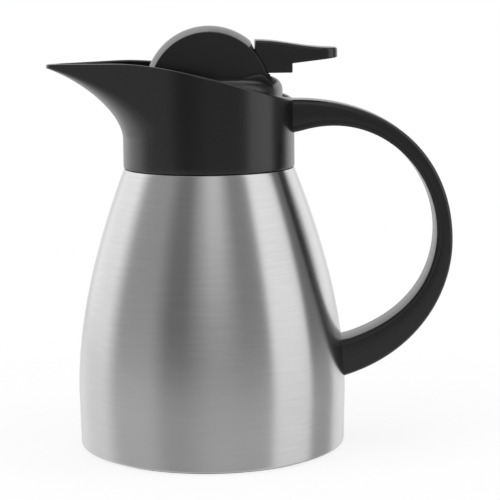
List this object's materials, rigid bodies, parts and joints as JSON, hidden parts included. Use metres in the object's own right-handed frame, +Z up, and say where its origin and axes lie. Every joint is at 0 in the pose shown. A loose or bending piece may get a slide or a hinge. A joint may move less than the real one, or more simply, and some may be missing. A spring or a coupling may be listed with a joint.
{
  "type": "vacuum carafe",
  "caption": "Double-walled steel vacuum carafe with black spout collar, loop handle and a quarter-turn stopper with a thumb-lever valve.",
  "frame": {"origin": "centre of the flat face that the carafe stands on", "axes": "+Z up, spout towards -X, handle and thumb lever towards +X"},
  "size_m": [0.1947, 0.1304, 0.2037],
  "materials": {
    "brushed_steel": "fine brushing round the body",
    "liner_steel": "plain drawn steel",
    "braze": "braze metal bead",
    "getter": "sintered pill",
    "rubber_pad": "matte rubber",
    "black_plastic": "satin black moulding",
    "inner_plastic": "natural moulding",
    "silicone": "soft silicone",
    "fastener_steel": "plain steel"
  },
  "bodies": {
    "carafe": {"outer_shell": "brushed_steel", "outer_neck": "liner_steel", "inner_liner": "liner_steel", "liner_shoulder": "liner_steel", "liner_floor": "liner_steel", "outer_base": "liner_steel", "vacuum_seal": "braze", "getter": "getter", "base_pad": "rubber_pad", "collar": "black_plastic", "collar_gasket": "silicone", "neck_ring": "black_plastic", "handle_shell": "black_plastic", "handle_cover": "black_plastic", "handle_bracket": "liner_steel", "handle_foot_screw": "fastener_steel", "handle_root_screws": "fastener_steel"},
    "stopper_ring": {"neck_gasket": "silicone"},
    "stopper": {"stopper_body": "black_plastic", "lid_cover": "black_plastic", "grip_dome": "black_plastic", "grip_screws": "fastener_steel", "lever_pin": "fastener_steel", "valve_spring": "fastener_steel"},
    "lever": {"thumb_lever": "black_plastic"},
    "valve": {"valve_stem": "inner_plastic", "valve_seal": "silicone", "stem_clip": "fastener_steel"}
  },
  "joints": [
    {"name": "stopper_rise", "type": "slide", "parent": "carafe", "child": "stopper_ring", "axis": [0, 0, 1], "range_m": [0, 0.008]},
    {"name": "stopper_turn", "type": "hinge", "parent": "stopper_ring", "child": "stopper", "pos_m": [0, 0, 0.151], "axis": [0, 0, 1], "range_deg": [0, 90]},
    {"name": "lever_press", "type": "hinge", "parent": "stopper", "child": "lever", "pos_m": [0.0235, 0, 0.1852], "axis": [0, 1, 0], "range_deg": [0, 13], "stiffness_Nm_per_rad": 0.166, "springref_deg": -24.06},
    {"name": "valve_lift", "type": "slide", "parent": "stopper", "child": "valve", "axis": [0, 0, 1], "range_m": [0, 0.0052], "deforming": ["valve_spring"]}
  ],
  "couplings": [
    {"joint": "stopper_rise", "follows": "stopper_turn", "m_per_rad": 0.0050929},
    {"joint": "valve_lift", "follows": "lever_press", "m_per_rad": 0.0229}
  ]
}
